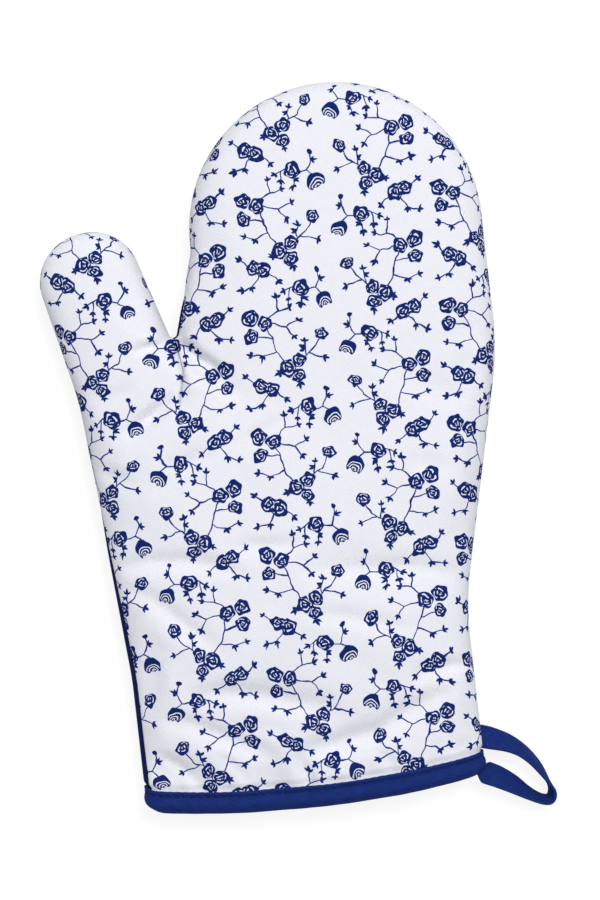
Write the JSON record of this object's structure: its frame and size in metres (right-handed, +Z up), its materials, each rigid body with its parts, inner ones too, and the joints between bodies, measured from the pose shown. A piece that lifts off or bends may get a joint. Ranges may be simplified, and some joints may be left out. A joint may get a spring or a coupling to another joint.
{
  "type": "oven mitt",
  "caption": "Padded cotton oven mitt with a separate thumb, small blue rose print on white, plain blue back, bound cuff and hanging loop, lying on its back.",
  "frame": {"origin": "on the rest plane under the middle of the palm", "axes": "+X along the cuff towards the loop, +Y from the cuff to the fingertips, +Z up through the printed front"},
  "size_m": [0.1866, 0.304, 0.033],
  "materials": {
    "printed_cotton": "white cotton twill with a small navy rose print",
    "blue_cotton": "plain dark blue cotton twill",
    "wadding": "lofted polyester wadding",
    "lining_cotton": "plain white cotton",
    "blue_tape": "dark blue cotton bias tape",
    "blue_thread": "dark blue sewing thread",
    "white_thread": "white sewing thread"
  },
  "bodies": {
    "mitt": {"front_cover": "printed_cotton", "back_cover": "blue_cotton", "front_wadding": "wadding", "back_wadding": "wadding", "front_lining": "lining_cotton", "back_lining": "lining_cotton", "cuff_binding": "blue_tape", "binding_topstitch": "blue_thread", "seam_thread": "white_thread"},
    "thumb": {"front_cover_thumb": "printed_cotton", "back_cover_thumb": "blue_cotton", "front_wadding_thumb": "wadding", "back_wadding_thumb": "wadding", "front_lining_thumb": "lining_cotton", "back_lining_thumb": "lining_cotton", "seam_thread_thumb": "white_thread"},
    "loop": {"hanging_loop": "blue_tape"}
  },
  "joints": [
    {"name": "thumb_fold", "type": "hinge", "parent": "mitt", "child": "thumb", "pos_m": [-0.03725, 0.07776, 0.011], "axis": [0, 0, -1], "range_deg": [0, 26], "stiffness_Nm_per_rad": 0.02},
    {"name": "loop_swing", "type": "hinge", "parent": "mitt", "child": "loop", "pos_m": [0.0712, -0.1055, 0.011], "axis": [0, -1, 0], "range_deg": [-70, 85]}
  ]
}
